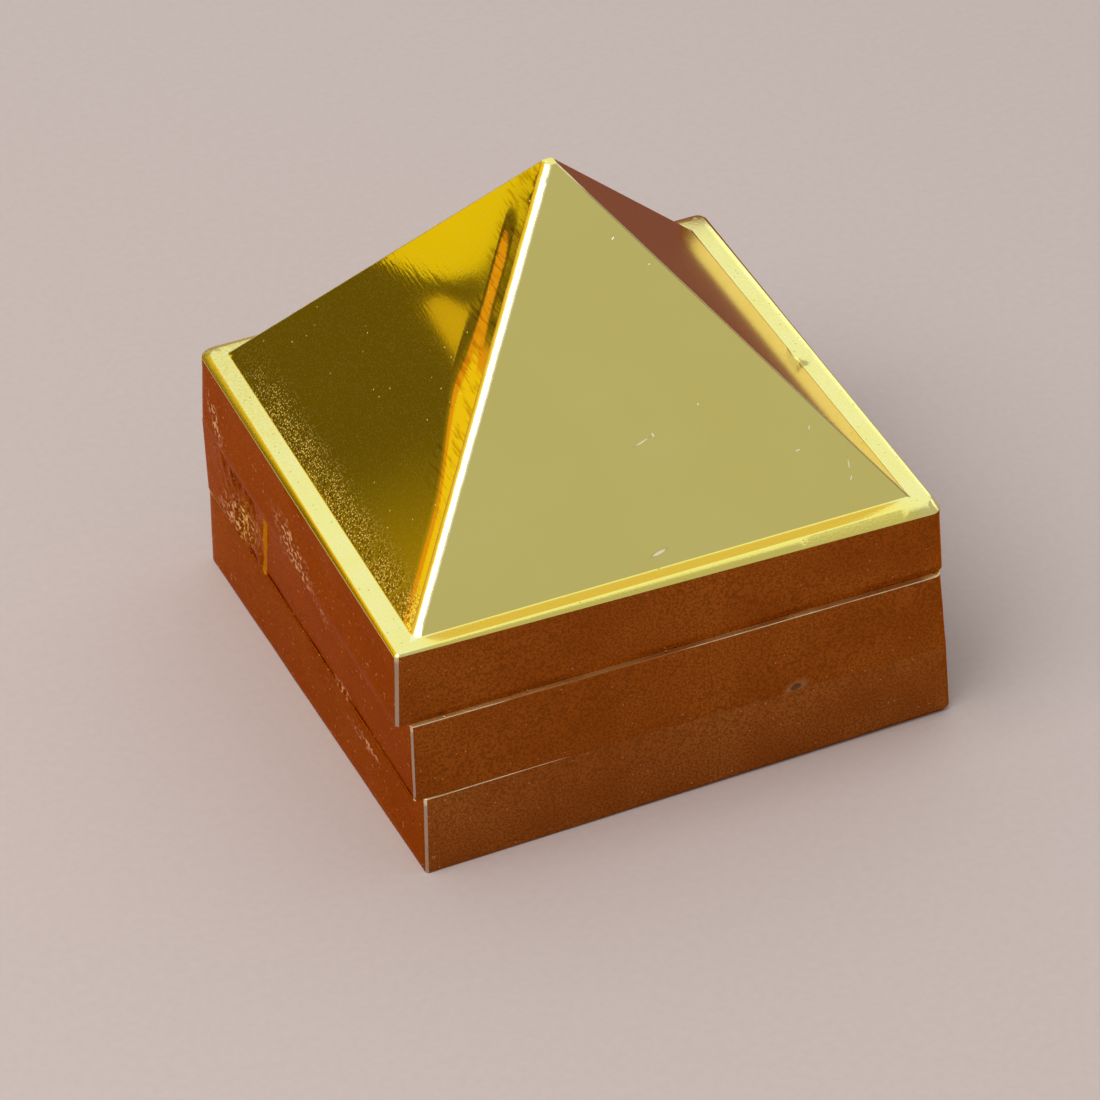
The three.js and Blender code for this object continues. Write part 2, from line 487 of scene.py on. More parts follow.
def specks(shader, vector, spacing, size, share):
    """Small round spots, one in a cell, in the given share of the cells."""
    inputs = {"Vector": vector, "Scale": 1 / spacing}
    distance, color = shader.outputs("ShaderNodeTexVoronoi", inputs)[:2]
    pick = split(shader, color)[0]
    spot = distance.between(size / spacing, 0.3 * size / spacing)
    return spot * pick.between(1 - share, 1.0001 - share)


def stroke(shader, vector, mark, facing, half_depth=0.6):
    """A soft mark on a face: 1 along its middle and 0 outside an ellipse."""
    centre, along, half_length, half_width = mark
    along = Vector(along).normalized()
    facing = Vector(facing).normalized()
    across = facing.cross(along).normalized()
    turn = Matrix((along, across, facing)).transposed().to_euler("XYZ")
    inputs = {
        "Vector": vector,
        "Location": centre,
        "Rotation": tuple(turn),
        "Scale": (half_length, half_width, half_depth),
    }
    local = shader.node("ShaderNodeMapping", {"vector_type": "TEXTURE"}, inputs)
    length = shader.node("ShaderNodeVectorMath", {"operation": "LENGTH"}, {0: local}, output=1)
    return length.between(1.0, 0.0)


def relief(shader, height, depth, normal=None):
    """A bump that is as deep as that many millimetres where the height goes from 0 to 1."""
    inputs = {"Height": height, "Distance": depth * 0.001, "Strength": 1.0}
    if normal is not None:
        inputs["Normal"] = normal
    return shader.node("ShaderNodeBump", None, inputs)


# %% [markdown]
# ## Finish of the lid's faces
# The four faces are buffed to a mirror that is slightly satin. Buffing left a few scratches, fine
# lines that run level along the left face, and a grainy band along its foot, where the wheel didn't
# reach. All that is only hundredths of a millimetre deep, so it's a bump: a height worked out from
# the place on the face. Pale specks and the pale cores of the scratches are painted glints, the
# specks partly dust.

# %% Marks on the faces
FRONT_FACE = (0, -ROOF_RISE, 1)
SCRATCHES = (
    # centre in the lid's frame, direction, half length, half width
    ((0.75, -12.2, 11.85), (1.5, 0.3, 0.35), 0.95, 0.09),
    ((1.6, -12.05, 12.05), (0.3, -0.6, -0.75), 0.35, 0.13),
    ((5.1, -11.3, 12.9), (1, 0, 0), 0.16, 0.14),
    ((11.96, -13.45, 10.3), (0.3, 0.6, 0.75), 0.35, 0.09),
    ((10.8, -14.2, 9.35), (1, 0.1, 0.1), 0.40, 0.09),
    ((13.9, -15.3, 8.0), (-0.1, -0.6, -0.75), 0.65, 0.09),
    ((13.8, -15.9, 7.3), (-0.5, -0.5, -0.6), 0.35, 0.09),
    ((-0.15, -16.7, 6.35), (1.5, 0.2, 0.25), 0.95, 0.20),
    ((2.6, -3.9, 21.95), (1, 0.5, 0.6), 0.35, 0.08),
    ((4.5, -5.3, 20.25), (1, 0, 0), 0.22, 0.12),
)
print("The front face has", len(SCRATCHES), "scratches of its own")

# %% [markdown]
# Beside the front left ridge the wheel also pulled the left face down, so that it rolls over
# towards the ridge, by a few degrees. Low down the roll is wide, and high up it's a narrow
# hollow. Only its slope shows, as a shift of the reflections, so this is a bump too.


# %% Roll beside the ridge
def roll_over(beside, z):
    """The height in millimetres that the left face loses, by the distance from the ridge."""
    low = z.between(20.0, 14.5)
    width = z.between(10.5, 16.0) * 2.4 + 2.3
    roll = (1 - beside.math("DIVIDE", width)).math("MAXIMUM", 0.0)
    rolled = roll * roll * width * -0.154
    sunk = (beside.between(1.4, 3.3) - 1) * z.between(24.0, 21.5) * 0.115
    return rolled * low + sunk * (1 - low)


# %% [markdown]
# One finish serves all four faces. Masks say where each kind of wear is: on the left face or the
# front one, by the ridge, and along the foot. The colour is a pale gold that varies a little. The
# specks and the cores of scratches are paler and less metallic, so they stay bright where the face
# mirrors something dark: painted glints, the specks partly dust.

# %% Face finish
PALE_GOLD = (0.95, 0.845, 0.275)
WARM_GOLD = (0.935, 0.82, 0.25)
# The next two golds are painted glints: pale specks, partly dust, and the pale cores of scratches.
SPECK_GOLD = (1.0, 0.74, 0.20)
SCRATCH_GLINT_GOLD = (1.0, 0.94, 0.70)
GRAZING_GOLD = (0.80, 0.62, 0.45, 1)


def face_finish():
    shader = Shader("buffed_gold")
    place = layer_frame(shader, "lid")
    x, y, z = split(shader, place)
    tone = cloud(shader, place, 7.0, 3.0)
    grain = cloud(shader, place, 0.22)
    patches = cloud(shader, place, 1.8)
    strokes = cloud(shader, place, 0.30, 2.0, (7, 7, 0.6))
    on_left = (x * -1 - y.math("ABSOLUTE")).between(0.0, 0.2)
    on_front = (y * -1 - x.math("ABSOLUTE")).between(0.0, 0.2)
    beside = (y - x).math("MAXIMUM", 0.0)
    away_from_back = (x * -1 - y).between(-0.20, 0.15)

    by_ridge = beside.between(5.5, 2.0)
    by_border = y.between(0.0, 3.0) * z.between(13.5, 16.0)
    stroked = on_left * strongest([by_ridge * 2.6, by_border])
    hatched = strokes.between(0.50, 0.36) * beside.between(4.4, 3.4)
    hatched = hatched * z.between(9.0, 13.0) * on_left
    scratched = strongest([stroke(shader, place, mark, FRONT_FACE) for mark in SCRATCHES])
    scratch_glint = scratched.between(0.30, 0.70)
    foot_band = on_left * z.between(8.0, 6.2) * patches.between(0.20, 0.55)
    foot_band = foot_band * y.between(17.0, 9.0)
    front_foot = on_front * z.between(7.4, 6.0) * x.between(2, 9)
    gritty = strongest([foot_band, front_foot * 0.35])
    # Painted glints, partly dust: pale, less metallic specks, most of them on the left face.
    dots = specks(shader, place, 0.62, 0.085, 0.26)
    dust_and_glints = specks(shader, place, 0.15, 0.075, 0.75) * on_left * (foot_band * 0.9 + 0.07)
    pale = strongest([dots * (on_left * 0.85 + 0.06), dust_and_glints])

    height = grain * (gritty * 3.0 + 0.08) + strokes * (stroked * 0.45 + 0.03) - scratched * 5.0
    fine = relief(shader, height, 0.004)
    fall = roll_over(beside, z) * away_from_back
    dark_grain = foot_band * grain.between(0.50, 0.42)
    color = shader.blend(tone.between(0.3, 0.7), WARM_GOLD, PALE_GOLD)
    color = shader.blend(scratched * 0.6, color, (0.42, 0.28, 0.06))
    color = shader.blend(dark_grain * 0.7, color, (0.30, 0.18, 0.02))
    color = shader.blend(hatched * 0.55, color, (0.52, 0.30, 0.03))
    # Painted glint: the core of each scratch is nearly white.
    color = shader.blend(scratch_glint * 0.8, color, SCRATCH_GLINT_GOLD)
    satin = on_left * (by_ridge * 0.04 - 0.05) + foot_band * 0.12
    shader.set(
        Base_Color=shader.blend(pale, color, SPECK_GOLD),
        Metallic=1 - strongest([pale, scratch_glint]) * 0.5,
        Roughness=tone * 0.02 + satin + pale * 0.3 + 0.09,
        Specular_Tint=GRAZING_GOLD,
        Normal=relief(shader, fall, 1.0, fine),
    )
    return shader.material


# %% [markdown]
# The ridges are rubbed bright by every hand that lifts the lid, so they are rougher and paler than
# the faces. The front right one is narrow, and painted shade darkens it to a brown.


# %% Ridge finish
def ridge_finish():
    shader = Shader("ridge_gold")
    place = layer_frame(shader, "lid")
    x, y = split(shader, place)[:2]
    worn = cloud(shader, place, 0.8, 3.0)
    color = shader.blend(worn.between(0.35, 0.65), (0.97, 0.88, 0.42), (1.0, 0.95, 0.60))
    # Painted shade darkens the front right ridge to a brown.
    front_right_shade = x.between(0.5, 2.0) * (y * -1).between(0.5, 2.0)
    shader.set(
        Base_Color=shader.blend(front_right_shade * 0.8, color, (0.36, 0.25, 0.07)),
        Metallic=1.0,
        Roughness=worn * 0.12 + 0.20,
        Normal=relief(shader, worn, 0.004),
    )
    return shader.material


# %% [markdown]
# ## Finish of the rim
# The flat rim was only rubbed level. It's as pale as the faces, but duller, with open pores of the
# casting and small dark specks, more of them towards the back left corner, and a warmer front.


# %% Rim finish
def rim_finish():
    shader = Shader("rubbed_gold")
    place = layer_frame(shader, "lid")
    x, y = split(shader, place)[:2]
    tone = cloud(shader, place, 3.0, 3.0)
    grain = cloud(shader, place, 0.20)
    back_left = (y - x * 0.6).between(8.0, 26.0)
    front = (y * -1 - x.math("ABSOLUTE")).between(0.0, 3.0)
    pores = specks(shader, place, 0.42, 0.09, 0.25)
    height = grain * (back_left + 0.45) - pores * 0.8
    grainy = grain.between(0.42, 0.60) * (back_left * 0.35 + 0.15)
    color = shader.blend(tone.between(0.3, 0.7), (0.95, 0.88, 0.36), (0.94, 0.86, 0.30))
    color = shader.blend(grainy, color, (0.80, 0.66, 0.16))
    color = shader.blend(front * 0.6, color, (1.0, 0.83, 0.12))
    shader.set(
        Base_Color=shader.blend(pores * 0.45, color, (0.35, 0.26, 0.06)),
        Metallic=1.0,
        Roughness=tone * 0.06 + back_left * 0.12 + 0.13,
        Specular_Tint=GRAZING_GOLD,
        Normal=relief(shader, height, 0.008),
    )
    return shader.material


# %% [markdown]
# ## Finish of the walls
# The walls are the least polished: satin, with fine casting grain, level rubbing marks and pale
# flecks where dirt or bare metal shows. Their deep red-brown colour is a painted reflection: the
# gold as it mirrors a dark red surround. One function makes the finish of all three layers. It
# takes the deep and the light tone of that painted reflection, the rough patches on the left wall,
# and a function that adds the layer's own marks.

# %% Wall finish
GRAZING_COPPER = (1.0, 0.52, 0.40, 1)
BARE_COPPER = (0.86, 0.48, 0.25)
FACING_LEFT = (-1, 0, 0)
PATCH_DEPTH = 3.0


def wall_finish(name, body, deep_reflection, light_reflection, patches, marks=None):
    shader = Shader(name)
    place = layer_frame(shader, body)
    x = split(shader, place)[0]
    tone = cloud(shader, place, 5.0, 3.0)
    grain = cloud(shader, place, 0.17, 3.0)
    rubbed = cloud(shader, place, 0.5, 2.0, (8, 8, 0.6))
    clumps = cloud(shader, place, 1.1, 3.0)
    flakes = cloud(shader, place, 0.28, 3.0, (1, 1.5, 1))
    left = (x * -1).between(18.0, 18.4)
    rough = [stroke(shader, place, mark, FACING_LEFT, PATCH_DEPTH) for mark in patches]
    rough = (strongest(rough) * 1.6).math("MINIMUM", 1.0)
    flecks = specks(shader, place, 0.60, 0.075, 0.40)
    shown = flakes + clumps.between(0.40, 0.60) * 0.05
    flaked = rough * shown.between(0.52, 0.60) + left * shown.between(0.68, 0.74) * 0.5
    bare = strongest([flecks * 0.5, flaked * 0.8])
    height = grain * (rough * 1.5 + 0.8) + rubbed * 0.35 + flakes * rough * 2.5
    # Painted reflection: the colour runs between two deep red-browns, gold as it mirrors a dark red
    # surround.
    color = shader.blend(tone.between(0.3, 0.72), deep_reflection, light_reflection)
    deepest_reflection = tuple(0.62 * part for part in deep_reflection)
    color = shader.blend(grain.between(0.40, 0.62) * 0.75, color, deepest_reflection)
    bare_color = BARE_COPPER
    if marks:
        color, bare_color, height = marks(shader, place, color, bare_color, height)
    shader.set(
        Base_Color=shader.blend(bare, color, bare_color),
        Metallic=1 - bare * 0.5,
        Roughness=tone * 0.10 + rough * 0.14 + bare * 0.2 + 0.17,
        Specular_Tint=GRAZING_COPPER,
        Normal=relief(shader, height, 0.010),
    )
    return shader.material


# %% [markdown]
# The middle layer has two marks of its own. A gate is where the metal ran into the mould: it was
# sawn off the left wall and left a bright line and golden flecks, whose bright gold is partly a
# painted highlight. In the front wall is a pit, with painted shade inside it and a painted
# highlight round it. The mesh gets both at the same places.

# %% Marks of the middle layer
PIT = Vector((7.95, -18.9, 0.25))
PIT_LENGTH = (1, 0, 0.3)
FACING_FRONT = (0, -1, 0)
GATE_FROM = 7.6
GATE_SLANT = 0.2


def middle_marks(shader, place, color, bare_color, height):
    x, y, z = split(shader, place)
    from_line = (y + z * GATE_SLANT - (GATE_FROM + 0.15)).math("ABSOLUTE")
    line = from_line.between(0.34, 0.16) * (x * -1).between(18.0, 18.4)
    color = shader.blend(line * 0.9, color, (0.72, 0.36, 0.02))
    # Painted highlight, partly bare metal: the flecks in the gate are a bright gold.
    in_gate = y.between(7.6, 8.6) * y.between(13.5, 11.0)
    bare_color = shader.blend(in_gate, bare_color, (0.95, 0.66, 0.16))
    # Painted highlight round the pit, and painted shade in it, over its real hollow.
    pit_highlight_ring = stroke(shader, place, (PIT, PIT_LENGTH, 1.40, 0.80), FACING_FRONT)
    pit_hollow_and_shade = stroke(shader, place, (PIT, PIT_LENGTH, 0.85, 0.50), FACING_FRONT)
    color = shader.blend(pit_highlight_ring * 0.9, color, (0.60, 0.36, 0.18))
    color = shader.blend(pit_hollow_and_shade.between(0.1, 0.5) * 0.8, color, (0.08, 0.03, 0.01))
    return color, bare_color, height - pit_hollow_and_shade * 3.0


# %% [markdown]
# The worn edges show as bright lines along the seams, and dull down the upright corner. Their pale
# colour, brighter in patches, is partly wear and partly a painted glint. Along part of each front
# seam the edge is darkened with painted shade, and so is the end of the left one.


# %% Edge finish
def edge_finish(name, body, top, shade_from, shade_to):
    """Worn edges of a layer of this height with a painted glint, and painted shade along the front
    between two places.
    """
    shader = Shader(name)
    place = layer_frame(shader, body)
    x, y, z = split(shader, place)
    worn = cloud(shader, place, 1.6, 3.0)
    grain = cloud(shader, place, 0.15)
    on_front = (y * -1).between(18.2, 18.6)
    left_end = (x * -1).between(18.2, 18.6) * y.between(-18.6, -17.6)
    # Painted shade: along these stretches the edge takes a deep brown.
    shaded_span = x.between(shade_from, shade_from + 2) * x.between(shade_to, shade_to - 2)
    painted_shade = strongest([shaded_span * on_front, left_end])
    # Painted glint, partly wear: the edge colour is pale and brighter in patches.
    bright = worn.between(0.30, 0.60) * 0.6 + 0.4
    color = shader.blend(bright, (0.62, 0.38, 0.14), (0.92, 0.80, 0.55))
    corner = z.between(top - 0.3, top - 0.7)
    color = shader.blend(corner * 0.85, color, (0.46, 0.34, 0.27))
    shader.set(
        Base_Color=shader.blend(painted_shade * 0.9, color, (0.42, 0.13, 0.02)),
        Metallic=1.0,
        Roughness=worn * 0.15 + 0.20,
        Normal=relief(shader, grain, 0.006),
    )
    return shader.material


# %% [markdown]
# Nobody polishes the inside of a casting. The hollows, pockets and spigots keep the coarse,
# pitted skin that the mould gave them, under the same gold.


# %% Inner finish
def inner_finish():
    shader = Shader("cast_gold")
    place = layer_frame(shader, "base")
    tone = cloud(shader, place, 4.0, 3.0)
    grain = cloud(shader, place, 0.35, 4.0)
    pits = specks(shader, place, 0.8, 0.16, 0.35)
    color = shader.blend(tone.between(0.3, 0.7), (0.72, 0.50, 0.16), (0.88, 0.68, 0.27))
    shader.set(
        Base_Color=shader.blend(pits * 0.5, color, (0.32, 0.20, 0.07)),
        Metallic=1.0,
        Roughness=tone * 0.15 + 0.32,
        Normal=relief(shader, grain * 0.8 - pits, 0.03),
    )
    return shader.material


# %% [markdown]
# Now the finishes are made. A patch is given by its centre, its direction, and half its length and
# width, in its layer's frame. The deep and light tones of the walls are a painted reflection of a
# dark red surround over the gold, and the base's are a little lighter than the other two. The lid's
# edge is bright all along the front, so its stretch of painted shade lies off the casting.

# %% Materials
# Painted reflection: the walls' deep red-brown tones.
WALL_REFLECTION_DEEP, WALL_REFLECTION_LIGHT = (0.34, 0.085, 0.008), (0.41, 0.115, 0.013)
BASE_REFLECTION_DEEP, BASE_REFLECTION_LIGHT = (0.35, 0.100, 0.014), (0.42, 0.140, 0.025)
LID_PATCHES = (
    ((-19.2, 15.4, 1.8), (0, -1, -0.9), 3.0, 1.1),
    ((-19.2, 0.0, 1.2), (0, -1, -0.25), 5.2, 1.7),
)
MIDDLE_PATCHES = (
    ((-19.3, 12.1, 1.6), (0, -1, 0.45), 5.8, 2.4),
    ((-19.0, -2.6, 5.0), (0, -1, -0.5), 2.6, 1.1),
    ((-18.9, -6.6, 0.3), (0, -1, 0), 2.2, 0.55),
)
BASE_PATCHES = (((-19.1, -9.0, 3.8), (0, -1, 0), 3.5, 0.5),)

buffed = face_finish()
ridge = ridge_finish()
rubbed_rim = rim_finish()
cast_gold = inner_finish()
walls = {
    "lid": wall_finish("lid_wall_gold", "lid", WALL_REFLECTION_DEEP, WALL_REFLECTION_LIGHT, LID_PATCHES),
    "middle": wall_finish(
        "middle_wall_gold", "middle", WALL_REFLECTION_DEEP, WALL_REFLECTION_LIGHT, MIDDLE_PATCHES, middle_marks
    ),
    "base": wall_finish("base_wall_gold", "base", BASE_REFLECTION_DEEP, BASE_REFLECTION_LIGHT, BASE_PATCHES),
}
worn_and_glinting_edges = {
    "lid": edge_finish("lid_edge_gold", "lid", SKIRT_HEIGHT, 30, 40),
    "middle": edge_finish("middle_edge_gold", "middle", MIDDLE_HEIGHT, -13.5, 1.5),
    "base": edge_finish("base_edge_gold", "base", BASE_HEIGHT, -3.0, 30),
}
print("Made", len(bpy.data.materials), "materials")

# %% [markdown]
# ## The lid
# The real lid is one hollow casting: a skirt, a flat rim with a worn outer edge, and the pyramid.
# The block's top is chamfered, stepped in for the foot of the pyramid, and carried up to the tip.
# The hollow is cut the same way from below. A cone with four sides would give the pyramid in one
# step, but not joined to its rim. The skin is how far the block stays inside its CAD solid.

# %% Shape of the lid
SKIN = 0.01
FOOT_HALF = LID_WIDTH / 2 - RIM_WIDTH
APEX_HALF = APEX_WIDTH / 2
RIM_ERRORS = ((-0.10, 0.45), (0, -0.15), (0, 0), (0, 0))
SKIRT_ERRORS = ((-0.10, 0.65), (0.05, 0.45), (0, -0.20), (-0.12, -0.50))
RIM_BEVELS = ((0.20, 0.22), (0.30, 0.80), (0.20, 0.14), (0.42, 0.80))
RIM_DROPS = (0.14, 0.55, 0.12, 0.38)
RIM_CORNERS = (0.35, 0.8, 0.7, 1.1)


def shape_lid():
    half = LID_WIDTH / 2 - SKIN
    bm = start_block(half, SKIRT_HEIGHT, LID_FLARE, RIM_CORNERS, SKIRT_ERRORS, RIM_ERRORS)
    top = chamfer_end(bm, end_face(bm, 1), half, RIM_BEVELS, RIM_DROPS)
    top = step_in(bm, top, FOOT_HALF)
    carry(bm, top, APEX_HALF, SKIRT_HEIGHT + (FOOT_HALF - APEX_HALF) * ROOF_RISE)

    ceiling = SKIRT_HEIGHT - RIM_THICKNESS
    roof_across = ROOF_WALL / math.sin(math.atan(ROOF_RISE))
    hollow_half = FOOT_HALF - roof_across + RIM_THICKNESS / ROOF_RISE
    under = step_in(bm, end_face(bm, -1), LID_MOUTH / 2)
    under = carry(bm, under, LID_MOUTH / 2, ceiling)
    inset(bm, under)
    set_square(under, hollow_half)
    carry(bm, under, APEX_HALF, ceiling + (hollow_half - APEX_HALF) * ROOF_RISE)
    print("The lid's block has", len(bm.faces), "faces")
    return bm


# %% [markdown]
# The front left ridge is rounded widest, because the buffing wheel ran over it. The tip, the
# concave foot of the pyramid, both edges of the worn chamfer and the foot of the skirt follow.

# %% Edges of the lid
RIDGE_RADII = (0.42, 0.10, 0.16, 0.18)
FACES, RIM, WALL, CORNER, INSIDE, RIDGES = range(6)


def ridge_edges(bm):
    found = []
    for edge in bm.edges:
        low, high = sorted((vert.co for vert in edge.verts), key=lambda point: point.z)
        if abs(low.z - SKIRT_HEIGHT) < NEAR and high.z > SKIRT_HEIGHT + 15:
            found.append(edge)
    return found


def round_lid(bm):
    for number, radius in enumerate(RIDGE_RADII):
        own = [edge for edge in ridge_edges(bm) if quadrant(edge.verts[0].co) == number]
        round_edges(bm, own, radius, 3, RIDGES)
    tip = max(vert.co.z for vert in bm.verts)
    round_edges(bm, edges_between(bm, *near(tip), -1), 0.16, 2)
    foot = edges_between(bm, *near(SKIRT_HEIGHT), FOOT_HALF - 1.0, FOOT_HALF + NEAR)
    round_edges(bm, foot, 0.18, 2)
    crease = outline_edges(bm, *near(SKIRT_HEIGHT), FOOT_HALF + 0.3)
    round_edges(bm, crease, 0.05, 2)
    worn = outline_edges(bm, SKIRT_HEIGHT - 0.9, SKIRT_HEIGHT - 0.08, 17.9)
    round_edges(bm, worn, 0.07, 2)
    round_edges(bm, outline_edges(bm, *near(0), 18.0), 0.07, 2)
    print("With its edges rounded it has", len(bm.faces), "faces")


# %% [markdown]
# A face's place and direction tell which finish it gets, in the order of the slots above. The
# bevel has already set the slot of the ridges. A face that looks away from the axis is on the
# outside of a wall, and one that looks towards the axis is in the hollow.


# %% Slots of the lid
def outwards(face, centre):
    return face.normal.x * centre.x + face.normal.y * centre.y > 0


def at_front_left(face, centre):
    """Whether a face is in the rounding of the front left upright edge."""
    return quadrant(centre) == 0 and face.normal.x < -0.25 and face.normal.y < -0.25


def sort_lid_faces(bm):
    for face in bm.faces:
        centre = face.calc_center_median()
        outward = outwards(face, centre)
        if face.material_index == RIDGES:
            continue
        if centre.z > SKIRT_HEIGHT + 0.16 and (outward or face.normal.z > 0.9):
            face.material_index = FACES
        elif face.normal.z > 0.3 and reach(centre) > 17.0:
            face.material_index = RIM
        elif reach(centre) > 17.8 and outward:
            face.material_index = CORNER if at_front_left(face, centre) else WALL
        else:
            face.material_index = INSIDE


# %% [markdown]
# The faces wave a little, the skirt a little more, with the grain of its casting, and the right
# side of the rim has a dent, where the cells are small. Below the worn chamfer everything is
# pushed straight sideways.

# %% Wear of the lid
DENT = Vector((17.55, 0.1, SKIRT_HEIGHT))
BELOW_CHAMFER = SKIRT_HEIGHT - 0.8


def lid_wear(point, normal):
    stretched = point - DENT
    stretched.y *= 0.55
    depth = 0.15 * fade(stretched.length, 0.78)
    if point.z > SKIRT_HEIGHT + 0.3:
        depth += 0.004 * slow_wave(point, 5.0, 3.0)
    elif reach(point) > 18.5 and point.z < BELOW_CHAMFER:
        depth += 0.05 * slow_wave(point, 4.0, 9.0) + 0.02 * slow_wave(point, 0.9, 2.0)
    return depth


lid_mesh = shape_lid()
round_lid(lid_mesh)
cut_squares(lid_mesh, CELLS_TO, CELL)
cut_at(lid_mesh, Z, evenly(0.7, 4.2, CELL))
cut_at(lid_mesh, X, evenly(16.75, 18.25, FINE_CELL))
cut_at(lid_mesh, Y, evenly(-1.4, 1.6, FINE_CELL))
sort_lid_faces(lid_mesh)
push_inwards(lid_mesh, lid_wear, BELOW_CHAMFER)
lid_materials = (buffed, rubbed_rim, walls["lid"], worn_and_glinting_edges["lid"], cast_gold, ridge)
lid = finish_piece("gilt_lid", lid_mesh, "lid", lid_materials)
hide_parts("pyramid_lid")
print("The lid has", len(lid.data.polygons), "faces")

# %% [markdown]
# ## The trays
# Each tray is a block with a shoulder, a spigot that steps up from it, and a pocket with nine
# square sockets. The pocket's floor is cut in nine by four planes, and each ninth is stepped in
# and sunk. The middle tray is also hollow from below, so that it drops over the base's spigot.


# %% Shape of a tray
def cut_floor(bm, floor, pitch):
    geometry = [floor] + floor.edges[:] + floor.verts[:]
    for axis in (X, Y):
        along = direction(axis)
        for side in (-0.5, 0.5):
            at = along * side * pitch
            cut = bmesh.ops.bisect_plane(
                bm, geom=geometry, dist=ON_PLANE, plane_co=at, plane_no=along
            )
            geometry = cut["geom"]
    return [part for part in geometry if isinstance(part, bmesh.types.BMFace)]


def sink_sockets(bm, cells, pitch, half, depth):
    for cell in cells:
        centre = cell.calc_center_median()
        middle = (round(centre.x / pitch) * pitch, round(centre.y / pitch) * pitch)
        inset(bm, cell)
        set_square(cell, half, None, middle)
        carry(bm, cell, half, centre.z - depth, middle)


def shape_tray(width, height, errors, radii, spigot_width, floor_z, hollow=None):
    half = width / 2 - SKIN
    bm = start_block(half, height, TRAY_FLARE, radii, *errors)
    shoulder = step_in(bm, end_face(bm, 1), spigot_width / 2)
    top = carry(bm, shoulder, spigot_width / 2, height + SPIGOT_HEIGHT)
    pocket_half = spigot_width / 2 - SPIGOT_WALL
    floor = carry(bm, step_in(bm, top, pocket_half), pocket_half, floor_z)
    cells = cut_floor(bm, floor, SMALL_PITCH)
    sink_sockets(bm, cells, SMALL_PITCH, SMALL_FOOT / 2 + SOCKET_PLAY, SOCKET_DEPTH)
    if hollow:
        mouth_half, deck = hollow
        carry(bm, step_in(bm, end_face(bm, -1), mouth_half), mouth_half, deck)
    print("A tray has", len(cells), "sockets and", len(bm.faces), "faces")
    return bm


# %% [markdown]
# The shoulders catch the light as thin bright lines at the seams, so their narrow bevel has a
# slot of its own. All that lies inside a tray has a third one.

# %% Edges and slots of a tray
TRAY_WALL, TRAY_EDGE, TRAY_INSIDE = range(3)
EDGE_BAND = 0.055


def round_tray(bm, height, spigot_half):
    shoulder = outline_edges(bm, *near(height), spigot_half + 0.5)
    round_edges(bm, shoulder, 0.05, 3, TRAY_EDGE)
    round_edges(bm, outline_edges(bm, -NEAR, 1.0, 18.0), 0.04, 2)
    top = height + SPIGOT_HEIGHT
    spigot = outline_edges(bm, *near(top), spigot_half - SPIGOT_WALL - 0.1)
    round_edges(bm, spigot, 0.12, 2)


def sort_tray_faces(bm, height):
    for face in bm.faces:
        centre = face.calc_center_median()
        if reach(centre) > 17.9 and outwards(face, centre):
            worn = at_front_left(face, centre) or centre.z > height - EDGE_BAND
            face.material_index = TRAY_EDGE if worn else TRAY_WALL
        else:
            face.material_index = TRAY_INSIDE


# %% [markdown]
# The walls of the trays wave as the skirt does. On the left wall of the middle tray the metal
# stands rough where the gate was sawn off, and ends in an upright step. On its front wall is the
# pit. Only points near the outer walls are moved.

# %% Wear of the trays
WALLS_FROM = 18.3
WAVE, RIPPLE = 0.05, 0.015


def waves(point, wavelength, seeds):
    wave = WAVE * slow_wave(point, wavelength, seeds[0])
    return wave + RIPPLE * slow_wave(point, 0.9, seeds[1])


def middle_wear(point, normal):
    if reach(point) < WALLS_FROM:
        return 0.0
    depth = waves(point, 4.0, (21.0, 5.0)) + 0.16 * fade((point - PIT).length, 0.55)
    if normal.x < -0.5:
        past_step = (point.y + GATE_SLANT * point.z - GATE_FROM) / 0.35
        gate = min(max(past_step, 0.0), 1.0)
        coarse = max(noise.noise(point / 1.7), 0.0) * 0.25
        rough = max(noise.noise(point / 0.7), 0.0) * 0.35 + coarse
        depth += 0.14 * (1 - gate) + gate * rough * fade(abs(point.y - 11.0), 7.0)
    return depth


def base_wear(point, normal):
    return waves(point, 5.0, (33.0, 8.0)) if reach(point) >= WALLS_FROM else 0.0


# %% [markdown]
# The middle tray is made first. Its cells are smaller round the pit and along the gate. The
# errors are those of its foot and of its top, at the four corners.

# %% Middle tray
MIDDLE_ERRORS = (
    ((-0.05, 0), (0.1, -0.3), (0, 0), (-0.58, 0)),
    ((0, 0), (-0.25, -0.3), (0, 0), (-0.72, 0)),
)
MIDDLE_CORNERS = (0.35, 0.6, 0.6, 0.6)
middle_mesh = shape_tray(
    MIDDLE_WIDTH,
    MIDDLE_HEIGHT,
    MIDDLE_ERRORS,
    MIDDLE_CORNERS,
    MIDDLE_SPIGOT,
    POCKET_FLOORS["middle"],
    (MIDDLE_MOUTH / 2, MIDDLE_DECK),
)
round_tray(middle_mesh, MIDDLE_HEIGHT, MIDDLE_SPIGOT / 2)
sort_tray_faces(middle_mesh, MIDDLE_HEIGHT)
cut_squares(middle_mesh, CELLS_TO, CELL)
cut_at(middle_mesh, Z, evenly(0.3, 5.4, 0.5))
cut_at(middle_mesh, X, evenly(8.0, 9.2, FINE_CELL))
cut_at(middle_mesh, Z, evenly(0.2, 1.4, FINE_CELL))
cut_at(middle_mesh, Y, evenly(5.2, 16.2, CELL / 2))
push_inwards(middle_mesh, middle_wear, MIDDLE_HEIGHT + 0.1)
middle_materials = (walls["middle"], worn_and_glinting_edges["middle"], cast_gold)
middle = finish_piece("gilt_middle_tray", middle_mesh, "middle", middle_materials)
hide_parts("middle_tray")
print("The middle tray has", len(middle.data.polygons), "faces")

